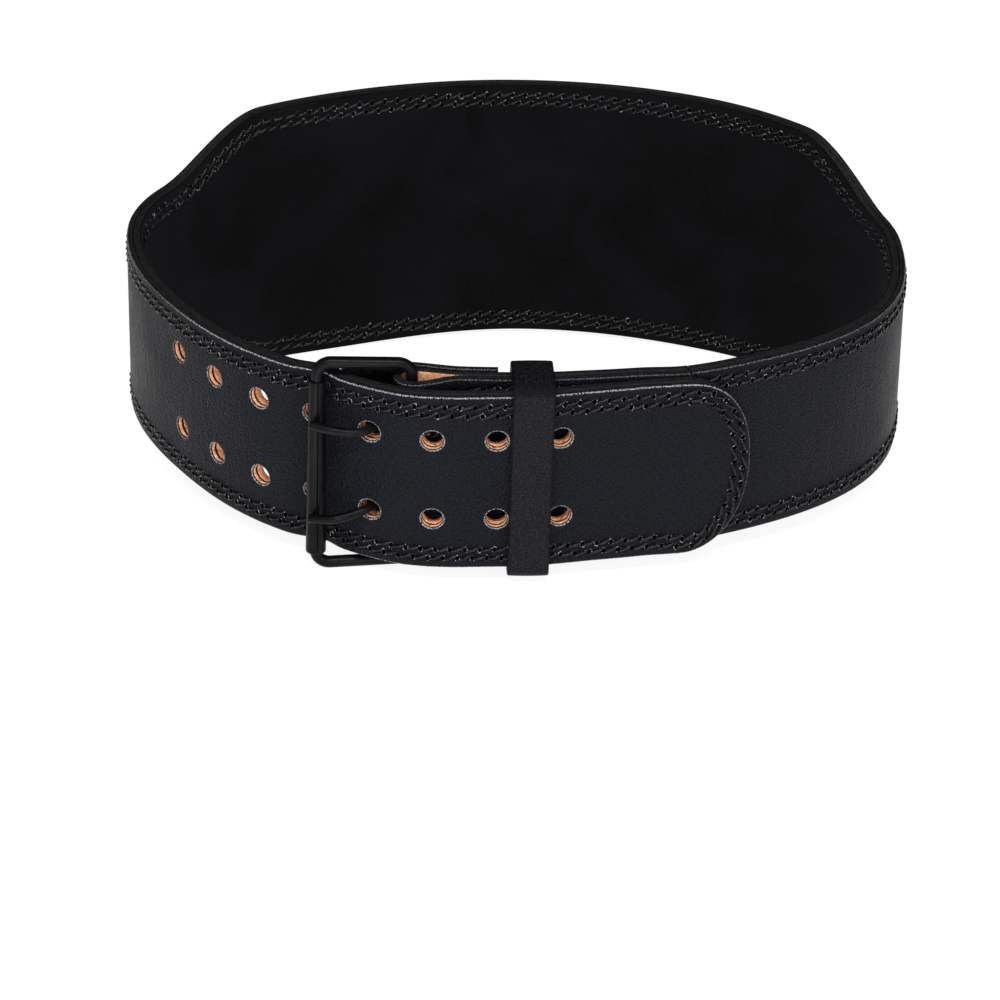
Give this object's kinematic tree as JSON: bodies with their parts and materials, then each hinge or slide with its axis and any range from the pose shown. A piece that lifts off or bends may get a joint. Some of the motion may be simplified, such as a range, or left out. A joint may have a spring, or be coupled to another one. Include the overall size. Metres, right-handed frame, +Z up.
{
  "type": "weightlifting belt",
  "caption": "Thick leather weightlifting belt, wide at the back, fastened in front with a prong roller buckle and a keeper loop.",
  "frame": {"origin": "middle of the bottom of the belt's bounding box, on the surface it stands on", "axes": "+X across the belt from the buckle side to the tongue tip's side, +Y to the back panel, +Z up"},
  "size_m": [0.4122, 0.3076, 0.1584],
  "materials": {
    "grain_leather": "fine pebble grain, satin",
    "suede": "rough split leather, matte",
    "painted_wire": "satin black paint"
  },
  "bodies": {
    "root": {"outer_leather": "grain_leather", "inner_lining": "suede", "buckle_fold": "grain_leather", "buckle_guard": "grain_leather", "buckle_frame": "painted_wire", "roller": "painted_wire", "prong_upper": "painted_wire", "prong_lower": "painted_wire", "keeper_loop": "grain_leather"}
  },
  "joints": []
}
